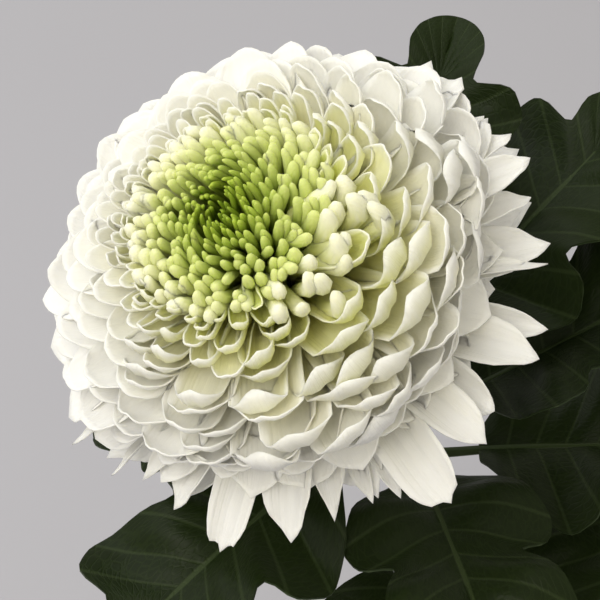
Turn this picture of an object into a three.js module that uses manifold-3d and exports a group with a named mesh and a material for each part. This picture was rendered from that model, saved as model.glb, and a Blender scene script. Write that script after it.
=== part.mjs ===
// One white disbud chrysanthemum with a green eye, standing in a plain ceramic vase.
// Millimetres, +Z up. The origin is the middle of the vase's foot. The bloom leans to -X and -Y.
import * as THREE from "three";
import { mergeVertices } from "three/addons/utils/BufferGeometryUtils.js";
import Module from "manifold-3d";

const { degToRad, lerp, smoothstep } = THREE.MathUtils;
const wasm = await Module();
wasm.setup();

// Driving dimensions
const VASE_HEIGHT = 180;
const WALL = 4;
const FLOOR = 8;
const WATER_LEVEL = 118;
const STEM_RADIUS = { foot: 4.2, neck: 3.4 };
const BLOOM_RADIUS = 65;
const BLOOM_HEIGHT = 425; // of the bloom's widest ring over the table
const BLOOM_TILT = 27; // degrees from upright
const BLOOM_HEADING = 212; // compass angle of the lean, from +X towards +Y
const GAP = 0.3; // between pieces that touch

// Colours and finishes
const finish = (color, roughness) => new THREE.MeshStandardMaterial({ color, roughness, metalness: 0 });
const GLAZE = finish("#cfccc6", 0.35);
const WATER = finish("#c9d6d2", 0.05);
const GREEN_STEM = finish("#6f8a45", 0.6);
const GREEN_LEAF = finish("#27381d", 0.5);
const GREEN_BRACT = finish("#5d7a3a", 0.6);
const WHITE_PETAL = finish("#eeecdd", 0.6);
const GREEN_PETAL = finish("#a9bf4e", 0.55);

// A number from 0 to 1 that looks random and is the same for the same index and salt
function chance(index, salt) {
  const wave = Math.sin(index * 12.9898 + salt * 78.233) * 43758.5453;
  return wave - Math.floor(wave);
}

// Closed meshes from rings of points

// A closed skin over rings of equally many points. A last ring of one point is a tip.
function loft(rings) {
  const points = rings.flat();
  const sides = rings[0].length;
  const tip = rings.at(-1).length === 1 ? points.length - 1 : -1;
  const tubes = tip < 0 ? rings.length - 1 : rings.length - 2;
  const faces = [];
  for (let k = 0; k < tubes; k++) {
    for (let j = 0; j < sides; j++) {
      const [a, b] = [k * sides + j, k * sides + ((j + 1) % sides)];
      faces.push(a, b, b + sides, a, b + sides, a + sides);
    }
  }
  for (let j = 1; j < sides - 1; j++) faces.push(0, j + 1, j);
  const last = tubes * sides;
  if (tip < 0) {
    for (let j = 1; j < sides - 1; j++) faces.push(last, last + j, last + j + 1);
  } else {
    for (let j = 0; j < sides; j++) faces.push(last + j, last + ((j + 1) % sides), tip);
  }
  return new THREE.BufferGeometry().setFromPoints(points).setIndex(faces);
}

function solid(geometry) {
  const bare = geometry.clone().deleteAttribute("normal").deleteAttribute("uv");
  const merged = mergeVertices(bare, 1e-4);
  const vertProperties = merged.attributes.position.array;
  const triVerts = new Uint32Array(merged.index.array);
  const made = new wasm.Manifold(new wasm.Mesh({ numProp: 3, vertProperties, triVerts }));
  if (made.volume() > 0) return made;
  return new wasm.Manifold(new wasm.Mesh({ numProp: 3, vertProperties, triVerts: triVerts.reverse() }));
}

const fuse = (solids) => wasm.Manifold.union(solids);

// The largest body of a piece, without loose scraps and sealed hollows
function mainBody(piece) {
  return piece.decompose().reduce((best, body) => (body.volume() > best.volume() ? body : best));
}

function meshOf(name, piece, material) {
  const { vertProperties, triVerts, numProp } = piece.getMesh();
  const geometry = new THREE.BufferGeometry();
  const points = [];
  for (let i = 0; i < vertProperties.length; i += numProp) points.push(...vertProperties.subarray(i, i + 3));
  geometry.setAttribute("position", new THREE.Float32BufferAttribute(points, 3));
  geometry.setIndex(Array.from(triVerts));
  const mesh = new THREE.Mesh(geometry, material);
  mesh.name = name;
  return mesh;
}

// A turned solid from a profile of [radius, height] points that starts and ends on the axis
function turned(profile, sides) {
  const points = profile.map(([r, z]) => new THREE.Vector2(r, z));
  return solid(new THREE.LatheGeometry(points, sides).rotateX(Math.PI / 2));
}

// Vase: three curves from the foot to the lip, as one turned ceramic wall

const VASE_CURVES = [
  [[34, 2.5], [47, 20], [51, 60], [46, 82]],
  [[46, 82], [40, 108], [17.5, 116], [17.5, 146]],
  [[17.5, 146], [17.5, 160], [18.5, 170], [21, VASE_HEIGHT - 1.5]],
];
const VASE_SIDES = 28;
const VASE_STEPS = 4; // of each curve

function vaseWall(inset, steps) {
  const points = [];
  for (const curve of VASE_CURVES) {
    const bezier = new THREE.CubicBezierCurve(...curve.map(([r, z]) => new THREE.Vector2(r - inset, z)));
    points.push(...bezier.getPoints(steps).map((p) => [p.x, p.y]));
  }
  return points.filter(([r, z], k) => k === 0 || z > points[k - 1][1] + 0.01);
}

function vase() {
  const outside = vaseWall(0, VASE_STEPS);
  const inside = vaseWall(WALL, VASE_STEPS).filter(([r, z]) => z > FLOOR + 1);
  const lip = [
    [20.6, VASE_HEIGHT],
    [17.6, VASE_HEIGHT],
  ];
  const foot = [
    [0, 0],
    [32, 0],
  ];
  const well = [
    [inside[0][0] - 2, FLOOR],
    [0, FLOOR],
  ];
  return turned([...foot, ...outside, ...lip, ...inside.reverse(), ...well], VASE_SIDES);
}

// Radius of the vase's hollow at a height, on the faceted wall
function hollowRadius(height) {
  const wall = vaseWall(WALL, VASE_STEPS);
  const above = wall.findIndex(([r, z]) => z > height);
  const [[r0, z0], [r1, z1]] = [wall[above - 1], wall[above]];
  return lerp(r0, r1, (height - z0) / (z1 - z0)) * Math.cos(Math.PI / VASE_SIDES);
}

function waterBody(stemHole) {
  const inside = vaseWall(WALL, VASE_STEPS).filter(([r, z]) => z > FLOOR + 1 && z < WATER_LEVEL);
  const bed = FLOOR + GAP;
  const skin = inside.map(([r, z]) => [r - 1.2 * GAP, z]);
  const profile = [[0, bed], [skin[0][0] - 2, bed], ...skin];
  profile.push([hollowRadius(WATER_LEVEL) - 1.2 * GAP, WATER_LEVEL], [0, WATER_LEVEL]);
  return mainBody(turned(profile, VASE_SIDES).subtract(stemHole));
}

// Bloom frame: its origin is the middle of the widest ring, and its Z is the bloom's axis

const heading = new THREE.Vector3(
  Math.cos(degToRad(BLOOM_HEADING)),
  Math.sin(degToRad(BLOOM_HEADING)),
  0,
);
const up = new THREE.Vector3(0, 0, 1);
const bloomAxis = up
  .clone()
  .multiplyScalar(Math.cos(degToRad(BLOOM_TILT)))
  .addScaledVector(heading, Math.sin(degToRad(BLOOM_TILT)));
const bloomTurn = new THREE.Quaternion().setFromUnitVectors(up, bloomAxis);
const BLOOM_REACH = 76; // how far the widest ring's middle stands out from the vase's axis
const bloomCentre = heading.clone().multiplyScalar(BLOOM_REACH).setZ(BLOOM_HEIGHT);

const RECEPTACLE_Z = -17; // underside of the receptacle
const CUP_DEPTH = 10; // of the involucre, from the receptacle down to the stem

// Stem: straight from the vase's floor to its lip, then one curve into the bloom

const STEM_SIDES = 10;
const RIB = 1.05; // how far the ribs reach, in stem radii
const LIP_TOUCH = VASE_HEIGHT - 4;
const CUT_SLANT = 0.5;
const FOOT_RISE = 3.1; // from the vase's floor to the middle of the slanted cut

function stemPath() {
  const top = bloomCentre
    .clone()
    .addScaledVector(bloomAxis, RECEPTACLE_Z - CUP_DEPTH - 2 * GAP);
  const atLip = heading
    .clone()
    .multiplyScalar(hollowRadius(LIP_TOUCH) - STEM_RADIUS.foot * RIB - 1.2 * GAP)
    .setZ(LIP_TOUCH);
  const foot = heading.clone().multiplyScalar(-15).setZ(FLOOR + FOOT_RISE);
  const straight = atLip.clone().sub(foot).normalize();
  const rise = top.distanceTo(atLip);
  const neck = new THREE.CubicBezierCurve3(
    atLip,
    atLip.clone().addScaledVector(straight, rise * 0.42),
    top.clone().addScaledVector(bloomAxis, -rise * 0.3),
    top,
  );
  const path = new THREE.CurvePath();
  path.add(new THREE.LineCurve3(foot, atLip));
  path.add(neck);
  return path;
}

const stemLine = stemPath();
const stemLength = stemLine.getLength();

// Point and direction on the stem, a distance down from its top
function onStem(down) {
  const u = 1 - down / stemLength;
  return { point: stemLine.getPointAt(u), along: stemLine.getTangentAt(u) };
}

function stemRadius(down) {
  return lerp(STEM_RADIUS.neck, STEM_RADIUS.foot, Math.min(1, down / (stemLength * 0.6)));
}

// The stem's tube with every second side standing out as a rib. Its foot is cut on the slant.
// Grown by a gap it is the hole that the stem needs, which goes on below its foot.
function stemTube(grow) {
  const spacing = [0, 15, 30, 50, 70, 90, 110, 130, 150, 172, 195, 220, stemLength];
  const rings = spacing.map((down) => {
    const { point, along } = onStem(down);
    const side = new THREE.Vector3(0, 1, 0).cross(along).normalize();
    const front = along.clone().cross(side);
    return Array.from({ length: STEM_SIDES }, (_, j) => {
      const angle = (2 * Math.PI * j) / STEM_SIDES;
      const rib = grow || j % 2 ? RIB : 0.95;
      const radius = (stemRadius(down) + grow) * rib;
      const p = point.clone();
      p.addScaledVector(side, radius * Math.cos(angle)).addScaledVector(front, radius * Math.sin(angle));
      const cut = grow ? -2 * FOOT_RISE : CUT_SLANT * Math.cos(angle) * radius;
      return down === stemLength ? p.addScaledVector(along, cut) : p;
    });
  });
  return solid(loft(rings));
}

// Leaves: a lobed blade on a petiole, bent along its midrib and folded up beside it

const PETIOLE_SHARE = 0.2;
const FAN_START = 0.7; // where the side veins start to fan round the end of the midrib
const RIB_END = 0.8; // of the leaf's length
const BLADE = 0.8; // thickness
// Share of the way round half a leaf, and how far the margin stands from the midrib in leaf lengths
const MARGIN = [
  [0, 0.05], [0.09, 0.24], [0.18, 0.32], [0.26, 0.29], [0.31, 0.18], [0.38, 0.26], [0.47, 0.32],
  [0.56, 0.27], [0.63, 0.12], [0.7, 0.15], [0.8, 0.18], [0.9, 0.195], [1, 0.2],
];

function marginAt(q) {
  const k = Math.min(MARGIN.length - 2, MARGIN.findLastIndex(([at]) => at <= q));
  const [[q0, m0], [q1, m1]] = [MARGIN[k], MARGIN[k + 1]];
  return lerp(m0, m1, (q - q0) / (q1 - q0));
}

// Flat leaf, in leaf lengths: q runs round half of the margin to the tip, v from the midrib to it.
function flatLeaf(q, v) {
  const along = Math.min(q / FAN_START, 1) * (RIB_END - PETIOLE_SHARE) + PETIOLE_SHARE;
  const fan = Math.max(0, (q - FAN_START) / (1 - FAN_START));
  const veinAngle = degToRad(lerp(lerp(80, 50, Math.min(1, q / FAN_START)), 0, fan));
  const reach = marginAt(q) * v;
  return { along: along + reach * Math.cos(veinAngle), out: reach * Math.sin(veinAngle) };
}

// Where a flat leaf's point goes once the leaf is bent: leaf frame, X outwards, Y sideways, Z up
function bentLeaf(leaf, { along, out }, lift = 0) {
  const [rise, droop] = [degToRad(leaf.rise), degToRad(leaf.droop)];
  const start = new THREE.Vector2(0, 0);
  const middle = new THREE.Vector2(Math.cos(rise), Math.sin(rise)).multiplyScalar(0.5);
  const end = middle.clone().add(new THREE.Vector2(Math.cos(droop), Math.sin(droop)).multiplyScalar(0.5));
  const bend = new THREE.QuadraticBezierCurve(start, middle, end);
  const t = Math.min(along, 1);
  const spot = bend.getPoint(t).multiplyScalar(leaf.length);
  const tangent = bend.getTangent(t);
  spot.addScaledVector(tangent, (along - t) * leaf.length);
  const side = Math.abs(out);
  const wave = 0.03 * Math.sin(along * 21 + leaf.turn) * Math.min(1, side * 6);
  const curl = (leaf.fold * side - leaf.cup * side * side + wave) * leaf.length + lift;
  const twist = degToRad(leaf.roll) * smoothstep(along, 0, 0.6);
  const across = out * leaf.length * (1 - 0.25 * leaf.fold);
  const [y, n] = [
    across * Math.cos(twist) - curl * Math.sin(twist),
    across * Math.sin(twist) + curl * Math.cos(twist),
  ];
  return new THREE.Vector3(spot.x - tangent.y * n, y, spot.y + tangent.x * n);
}

// A plate from one skin of triangles: the same triangles on both faces, and a wall along the open edges.
// spots gives each corner's place on the under face and on the upper face.
function plate(spots, triangles) {
  const count = spots.length;
  const faces = [];
  const edges = new Set(triangles.flatMap(([a, b, c]) => [`${a},${b}`, `${b},${c}`, `${c},${a}`]));
  for (const [a, b, c] of triangles) {
    faces.push(a + count, b + count, c + count, a, c, b);
    for (const [p, q] of [[a, b], [b, c], [c, a]]) {
      if (!edges.has(`${q},${p}`)) faces.push(q + count, p + count, p, q + count, p, q);
    }
  }
  const points = [...spots.map(([under]) => under), ...spots.map(([, over]) => over)];
  return solid(new THREE.BufferGeometry().setFromPoints(points).setIndex(faces));
}

function bladeSolid(leaf) {
  const reaches = [0, 0.6, 1];
  const spots = [];
  const numbers = new Map();
  const corner = (q, v, sign) => {
    const onRib = v === 0 ? Math.min(q, FAN_START) : q;
    const side = v === 0 || q === 1 ? 0 : sign;
    const key = [onRib, v, side].join();
    if (!numbers.has(key)) {
      const flat = flatLeaf(onRib, v);
      flat.out *= side;
      numbers.set(key, spots.length);
      spots.push([bentLeaf(leaf, flat, 0), bentLeaf(leaf, flat, BLADE)]);
    }
    return numbers.get(key);
  };
  const triangles = [];
  for (const sign of [1, -1]) {
    for (let k = 0; k < MARGIN.length - 1; k++) {
      const [q0, q1] = [MARGIN[k][0], MARGIN[k + 1][0]];
      for (let r = 0; r < reaches.length - 1; r++) {
        const a = corner(q0, reaches[r], sign);
        const b = corner(q1, reaches[r], sign);
        const c = corner(q1, reaches[r + 1], sign);
        const d = corner(q0, reaches[r + 1], sign);
        for (const three of [[a, b, c], [a, c, d]]) {
          if (new Set(three).size === 3) triangles.push(sign > 0 ? three : three.toReversed());
        }
      }
    }
  }
  return plate(spots, triangles);
}

// The petiole runs on under the blade as its midrib.
function petioleSolid(leaf) {
  const stops = [0, 0.1, PETIOLE_SHARE, PETIOLE_SHARE + 0.16];
  const rings = stops.map((along) => {
    const radius = lerp(1.9, 0.7, Math.max(0, along));
    const heart = bentLeaf(leaf, { along, out: 0 }, BLADE * 0.5 - radius * 0.45);
    const ahead = bentLeaf(leaf, { along: along + 0.01, out: 0 }, BLADE * 0.5 - radius * 0.45);
    const forward = ahead.sub(heart).normalize();
    const side = new THREE.Vector3(0, 1, 0);
    const over = forward.clone().cross(side);
    return Array.from({ length: 4 }, (_, j) => {
      const angle = (Math.PI * (j + 0.5)) / 2;
      const p = heart.clone().addScaledVector(side, radius * Math.cos(angle));
      return p.addScaledVector(over, radius * Math.sin(angle));
    });
  });
  return solid(loft(rings));
}

// down: along the stem from its top. turn: compass angle. rise and droop: slope of the midrib where it
// starts and where it ends. fold: how steeply the halves rise beside the midrib. cup: how they droop.
const LEAVES = [
  { down: 20, turn: 71, length: 104, rise: 33, droop: 29, fold: 0.3, cup: 0.9, roll: 0 },
  { down: 31, turn: 188, length: 84, rise: -3, droop: -20, fold: 0.25, cup: 0.8, roll: 8 },
  { down: 42, turn: 40, length: 118, rise: 33, droop: 22, fold: 0.3, cup: 0.8, roll: -6 },
  { down: 54, turn: 222, length: 122, rise: -4, droop: -18, fold: 0.3, cup: 0.8, roll: 6 },
  { down: 66, turn: 11, length: 118, rise: 28, droop: 36, fold: 0.55, cup: 0.6, roll: 0 },
  { down: 76, turn: 283, length: 112, rise: 26, droop: -4, fold: 0.3, cup: 0.8, roll: -4 },
  { down: 86, turn: 354, length: 116, rise: 16, droop: 4, fold: 0.35, cup: 0.8, roll: 4 },
  { down: 100, turn: 309, length: 122, rise: 8, droop: -10, fold: 0.3, cup: 0.8, roll: 6 },
  { down: 112, turn: 130, length: 100, rise: 30, droop: 0, fold: 0.3, cup: 0.8, roll: 0 },
  { down: 124, turn: 260, length: 112, rise: 0, droop: -20, fold: 0.3, cup: 0.8, roll: -4 },
];

function leafMesh(leaf, number, stemHole) {
  const { point } = onStem(leaf.down);
  const turn = new THREE.Matrix4().makeRotationZ(degToRad(leaf.turn)).setPosition(point);
  const whole = fuse([bladeSolid(leaf), petioleSolid(leaf)]).transform(turn.toArray());
  return meshOf(`leaf_${String(number).padStart(2, "0")}`, mainBody(whole.subtract(stemHole)), GREEN_LEAF);
}

// Florets: a spiral from the eye (place 0) to the lowest guard florets (place 1)

const GOLDEN_ANGLE = 137.508;
const DOME_HEIGHT = 0.82 * BLOOM_RADIUS;
const UNDER_HEIGHT = 0.95 * BLOOM_RADIUS;
const PROFILE_END = 118; // degrees round the dome from its top
const PROFILE_LENGTH = 1.95 * BLOOM_RADIUS; // from the eye to the guard florets, over the tips

const SHORT_SIDE = degToRad(-62); // side where the florets under the guard florets stay short
const PIT = { depth: 10, across: 9, along: 14, turn: degToRad(-80) }; // dimple in the eye

// 1 for the turns where the florets stay short, 0 on the far side
const shortness = (turn) => smoothstep(Math.cos(turn - SHORT_SIDE), -0.1, 0.6);

// Where a floret's tip stands: distance from the axis and height over the widest ring
function tipSpot(place, turn) {
  const angle = degToRad(place * PROFILE_END);
  const short = smoothstep(place, 0.45, 0.7) * shortness(turn);
  const rho = BLOOM_RADIUS * Math.sin(angle) ** 0.9 * (1 - 0.2 * short);
  const level = Math.cos(angle);
  const beside = (rho * Math.sin(turn - PIT.turn)) / PIT.across;
  const ahead = (rho * Math.cos(turn - PIT.turn)) / PIT.along;
  const pit = PIT.depth * Math.exp(-(beside ** 2) - ahead ** 2);
  return new THREE.Vector2(rho, (level > 0 ? DOME_HEIGHT : UNDER_HEIGHT) * level - pit);
}

// Surface that one floret covers, in square millimetres
function coverArea(place, eyeArea) {
  return lerp(eyeArea, 260, smoothstep(place, 0.08, 0.42));
}

// Places of the florets between two places of the spiral
function spiral(from, to, eyeArea) {
  const florets = [];
  for (let place = 0.012, index = 0; place < to; index++) {
    if (place >= from) florets.push({ place, index });
    const girth = 2 * Math.PI * Math.max(1, tipSpot(place, 0).x);
    place += coverArea(place, eyeArea) / girth / PROFILE_LENGTH;
  }
  return florets;
}

// Slope of a floret, in degrees from the bloom's axis, at its root and at its tip
const rootSlope = (place) => 4 + 98 * place;
const tipSlope = (place) => rootSlope(place) + lerp(-45, 14, smoothstep(place, 0.06, 0.32));

// A floret's middle line from its root to its tip, with its slope at each in degrees
function floretLine(root, tip, rootAngle, tipAngle) {
  const handle = 0.38 * root.distanceTo(tip);
  const way = (angle) =>
    new THREE.Vector2(Math.sin(degToRad(angle)), Math.cos(degToRad(angle))).multiplyScalar(handle);
  const bends = [root.clone().add(way(rootAngle)), tip.clone().sub(way(tipAngle))];
  return new THREE.CubicBezierCurve(root, ...bends, tip);
}

function floretShape({ place, index }, widthScale) {
  const jitter = (salt) => chance(index, salt) - 0.5;
  const spread = smoothstep(place, 0.08, 0.5);
  const turn = degToRad(index * GOLDEN_ANGLE + 5 * jitter(4) * spread);
  const tip = tipSpot(place, turn).multiplyScalar(1 + 0.035 * jitter(1) * spread);
  const root = new THREE.Vector2(1.5 + 7 * place, lerp(2, RECEPTACLE_Z + 4, place ** 1.5));
  const rootAngle = rootSlope(place) + 4 * jitter(2) * spread;
  const line = floretLine(root, tip, rootAngle, tipSlope(place) + 10 * jitter(3) * spread);
  const width = lerp(3, 14.5, smoothstep(place, 0.04, 0.4)) * widthScale * (1 + 0.08 * jitter(5));
  const cup = lerp(0.9, 0.57, spread) - 0.27 * smoothstep(place, 0.75, 1);
  return { line, turn, width, cup };
}

const GUARD_START = 0.86; // place where the guard florets take over on the short side
// Guard florets of the short side: turn, reach and height of the tip, and width
const GUARDS = [
  [-153, 71, 5, 6], [-143, 68, 0, 5], [-136, 63, 0, 6], [-127, 64, -5, 11], [-112, 70, -5, 12],
  [-96, 68, -5, 14], [-86, 64, -6, 9], [-77, 60, -10, 7], [-70, 62, -8, 7], [-61, 72, -5, 14],
  [-48, 67, -3, 12], [-40, 62, -6, 12], [-27, 66, -5, 12], [-18, 64, -9, 9], [-7, 65, -3, 7],
  [1, 66, -6, 13], [10, 65, -1, 10], [17, 68, 5, 10], [25, 67, 4, 10], [32, 66, 6, 11],
  [41, 69, 8, 14], [50, 69, 8, 12],
];

function guardShape([turn, reach, height, width]) {
  const root = new THREE.Vector2(8.2, RECEPTACLE_Z + 3.5);
  const line = floretLine(root, new THREE.Vector2(reach, height), 84, 98);
  return { line, turn: degToRad(turn), width, cup: 0.4 };
}

// Width along a floret, as a share of its widest: a narrow claw, then a spoon with a round end
function widthShare(u) {
  const claw = lerp(0.3, 1, smoothstep(u, 0, 0.68));
  const round = u > 0.7 ? Math.sqrt(Math.max(0, 1 - ((u - 0.7) / 0.3) ** 3.2)) : 1;
  return claw * round;
}

// A point of a floret: u from root to tip, v from -1 to 1 across, lift out of its upper face
function floretPoint({ line, turn, width, cup }, u, v, lift) {
  const spot = line.getPoint(u);
  const tangent = line.getTangent(u);
  const half = (width / 2) * widthShare(u);
  const bend = cup * smoothstep(u, 0, 0.5) + 1e-3;
  const across = (half * Math.sin(bend * v)) / bend;
  const rise = (half * (1 - Math.cos(bend * v))) / bend + lift;
  const rho = spot.x - tangent.y * rise;
  const z = spot.y + tangent.x * rise;
  const [c, s] = [Math.cos(turn), Math.sin(turn)];
  return new THREE.Vector3(rho * c - across * s, rho * s + across * c, z);
}

// A spoon-shaped white floret with thin edges
function petalSolid(shape, stations, thickness) {
  const rings = stations.map((u) => {
    if (u === 1) return [floretPoint(shape, 1, 0, 0)];
    const under = floretPoint(shape, u, 0, -thickness);
    return [under, floretPoint(shape, u, 1, 0), floretPoint(shape, u, 0, 0), floretPoint(shape, u, -1, 0)];
  });
  return solid(loft(rings));
}

// A closed green floret, a three-sided finger
function fingerSolid(shape, stations, thickness) {
  const rings = stations.map((u) => {
    if (u === 1) return [floretPoint(shape, 1, 0, -thickness / 2)];
    return [
      floretPoint(shape, u, 0, -thickness),
      floretPoint(shape, u, 1, 0),
      floretPoint(shape, u, -1, 0),
    ];
  });
  return solid(loft(rings));
}

// The solid heart that the florets stand out of
function core(to, share, bottom) {
  const turns = Array.from({ length: 16 }, (_, j) => (2 * Math.PI * j) / 16);
  const ring = (spotAt) =>
    turns.map((turn) => {
      const [rho, z] = spotAt(turn);
      return new THREE.Vector3(rho * Math.cos(turn), rho * Math.sin(turn), z);
    });
  const dome = Array.from({ length: 8 }, (_, k) =>
    ring((turn) => tipSpot(lerp(to, 0.02, k / 7), turn).multiplyScalar(share).toArray()),
  );
  return solid(loft([...bottom.map((spot) => ring(() => spot)), ...dome]));
}

const EYE_EDGE = 0.14; // place where the green centre florets meet the white ones
// The bell between the two: radius and height in the bloom frame, followed by the florets beside it
function bell(inset, top) {
  const edge = floretShape({ place: EYE_EDGE, index: 0 }, 0).line;
  const side = edge.getPoints(6).map((p) => [p.x - inset, p.y]);
  const floor = [0, side[0][1] + inset];
  return turned([floor, [side[0][0], floor[1]], ...side.slice(1), [side.at(-1)[0], top], [0, top]], 24);
}

// Where the rings of a white floret stand: the guard florets show their whole length
const LONG_STOPS = [0, 0.4, 0.74, 0.94, 1];
const SHORT_STOPS = [0.42, 0.74, 0.94, 1];

function rayFlorets() {
  const petals = spiral(EYE_EDGE, 1, 34)
    .map((floret) => ({ ...floret, shape: floretShape(floret, 1) }))
    .filter(({ place, shape }) => place < GUARD_START || shortness(shape.turn) < 0.6)
    .map(({ place, shape }) => petalSolid(shape, place > 0.75 ? LONG_STOPS : SHORT_STOPS, 0.9));
  const guards = GUARDS.map((guard) => petalSolid(guardShape(guard), LONG_STOPS, 0.9));
  const heart = core(0.72, 0.86, [
    [11, RECEPTACLE_Z],
    [11, -11],
  ]);
  return mainBody(fuse([heart, ...petals, ...guards]).subtract(bell(-GAP / 2, BLOOM_RADIUS)));
}

function centreFlorets() {
  const petals = spiral(0, EYE_EDGE, 21).map((floret) =>
    fingerSolid(floretShape(floret, 1.3), [0.45, 0.92, 1], 1.8),
  );
  const heart = core(EYE_EDGE, 0.88, [[6, 6]]);
  return mainBody(fuse([heart, ...petals]).intersect(bell(GAP / 2, BLOOM_RADIUS)));
}

// Involucre: the green cup under the bloom, with two rows of pointed bracts

const BRACTS = 16;
function involucre() {
  const top = RECEPTACLE_Z - GAP;
  const bottom = top - CUP_DEPTH;
  const cup = turned([[0, bottom], [4, bottom], [7, top - 7], [10.5, top - 3], [11, top], [0, top]], 16);
  const bracts = Array.from({ length: BRACTS }, (_, k) => {
    const inner = k % 2;
    const turn = (2 * Math.PI * k) / BRACTS;
    const [c, s] = [Math.cos(turn), Math.sin(turn)];
    const reach = inner ? 17.5 : 15;
    const at = (rho, across, z) => new THREE.Vector3(rho * c - across * s, rho * s + across * c, z);
    return solid(
      loft([
        [at(8, -1.6, top - 4), at(8, 1.6, top - 4), at(8, 0, top - 6.5)],
        [at(12, -1.8, top - 0.9), at(12, 1.8, top - 0.9), at(12, 0, top - 2.4)],
        [at(reach, 0, top + (inner ? 0.1 : -0.6))],
      ]),
    );
  });
  return mainBody(fuse([cup, ...bracts]));
}

// The whole flower in its vase

const flower = new THREE.Group();
const stemHole = stemTube(1.2 * GAP);
flower.add(meshOf("vase", vase(), GLAZE));
flower.add(meshOf("water", waterBody(stemHole), WATER));
flower.add(meshOf("stem", stemTube(0), GREEN_STEM));
LEAVES.forEach((leaf, k) => flower.add(leafMesh(leaf, k + 1, stemHole)));

const bloom = new THREE.Group();
bloom.position.copy(bloomCentre);
bloom.quaternion.copy(bloomTurn);
bloom.add(meshOf("ray_florets", rayFlorets(), WHITE_PETAL));
bloom.add(meshOf("centre_florets", centreFlorets(), GREEN_PETAL));
bloom.add(meshOf("involucre", involucre(), GREEN_BRACT));
flower.add(bloom);

export default flower;
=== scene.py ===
import math

import bpy
import numpy as np
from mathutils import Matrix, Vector


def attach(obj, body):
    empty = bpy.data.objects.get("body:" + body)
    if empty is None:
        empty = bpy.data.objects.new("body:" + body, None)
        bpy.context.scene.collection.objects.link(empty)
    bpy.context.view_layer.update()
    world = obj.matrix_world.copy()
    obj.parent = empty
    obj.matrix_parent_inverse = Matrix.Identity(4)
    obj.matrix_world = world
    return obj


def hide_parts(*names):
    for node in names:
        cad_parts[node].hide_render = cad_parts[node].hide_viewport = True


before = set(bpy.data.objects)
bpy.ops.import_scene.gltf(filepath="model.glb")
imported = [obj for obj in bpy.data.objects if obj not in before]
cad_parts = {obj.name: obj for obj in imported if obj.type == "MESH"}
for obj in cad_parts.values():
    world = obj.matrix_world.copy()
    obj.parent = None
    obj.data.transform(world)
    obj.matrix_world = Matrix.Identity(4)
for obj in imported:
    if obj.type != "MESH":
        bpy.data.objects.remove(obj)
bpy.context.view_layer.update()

# Vase: a bottle of pale stoneware, turned on the wheel as one wall from its foot to its lip.
# Satin glaze covers it down to a bare ring of clay that it stands on.

VASE_HEIGHT = 0.180
WALL = 0.004
FLOOR = 0.008
WELL_RISE = 0.003  # height over the floor where the wall's inside curves into it
BARE_RING = 0.0016  # height of the unglazed ring at the foot
VASE_CURVES = [
    [(0.034, 0.0025), (0.047, 0.020), (0.051, 0.060), (0.046, 0.082)],
    [(0.046, 0.082), (0.040, 0.108), (0.0175, 0.116), (0.0175, 0.146)],
    [(0.0175, 0.146), (0.0175, 0.160), (0.0185, 0.170), (0.021, 0.1785)],
]


def lerp(a, b, share):
    """What lies a share of the way from a to b."""
    return a + (b - a) * share


def smoothstep(x, low, high):
    """0 below the low end and 1 over the high end, with a soft change between them."""
    share = np.clip((x - low) / (high - low), 0, 1)
    return share * share * (3 - 2 * share)


def bezier(points, share):
    """Points at the shares (0 to 1) of a Bezier curve through its control points."""
    share = np.asarray(share, float)[..., None]
    rows = [np.asarray(point, float) + 0 * share for point in points]
    while len(rows) > 1:
        rows = [a + (b - a) * share for a, b in zip(rows, rows[1:])]
    return rows[0]


def wall_profile(inset, steps=14):
    """Radius and height up the vase's wall, from its foot to just under its lip."""
    runs = [bezier(curve, np.linspace(0, 1, steps)[k > 0:]) for k, curve in enumerate(VASE_CURVES)]
    return [(radius - inset, height) for radius, height in np.concatenate(runs)]


def throw(name, profile, sides=72):
    """A vessel or a rod drawn up from a disc, ring by ring, through a profile of radius and height."""
    (radius, height), *rings = profile
    bpy.ops.object.select_all(action="DESELECT")
    bpy.ops.mesh.primitive_circle_add(
        vertices=sides, radius=radius, fill_type="NGON", location=(0, 0, height)
    )
    vessel = bpy.context.object
    vessel.name = name
    bpy.ops.object.transform_apply(location=True)
    bpy.ops.object.mode_set(mode="EDIT")
    bpy.ops.mesh.select_all(action="SELECT")
    for next_radius, next_height in rings:
        rise = {"value": (0, 0, next_height - height)}
        bpy.ops.mesh.extrude_region_move(TRANSFORM_OT_translate=rise)
        share = next_radius / radius
        bpy.ops.transform.resize(value=(share, share, 1), center_override=(0, 0, next_height))
        radius, height = next_radius, next_height
    bpy.ops.mesh.select_all(action="SELECT")
    bpy.ops.mesh.normals_make_consistent(inside=False)
    bpy.ops.object.mode_set(mode="OBJECT")
    bpy.ops.object.shade_smooth_by_angle(angle=math.radians(50))
    return vessel


def new_material(name, roughness, **sockets):
    """A material's nodes and its Principled shader, whose other sockets are given by name."""
    material = bpy.data.materials.new(name)
    material.use_nodes = True
    shader = material.node_tree.nodes["Principled BSDF"]
    shader.inputs["Roughness"].default_value = roughness
    for socket, value in sockets.items():
        shader.inputs[socket.replace("_", " ")].default_value = value
    return material, material.node_tree, shader


def node(tree, kind, inputs=None, **settings):
    """A new node, where each input is a value or another node's output."""
    made = tree.nodes.new(kind)
    for setting, value in settings.items():
        setattr(made, setting, value)
    for socket, value in (inputs or {}).items():
        if isinstance(value, bpy.types.NodeSocket):
            tree.links.new(value, made.inputs[socket])
        else:
            made.inputs[socket].default_value = value
    return made


MIX_SOCKETS = (0, 6, 7)  # the share and the two colours of a colour mix


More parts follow.
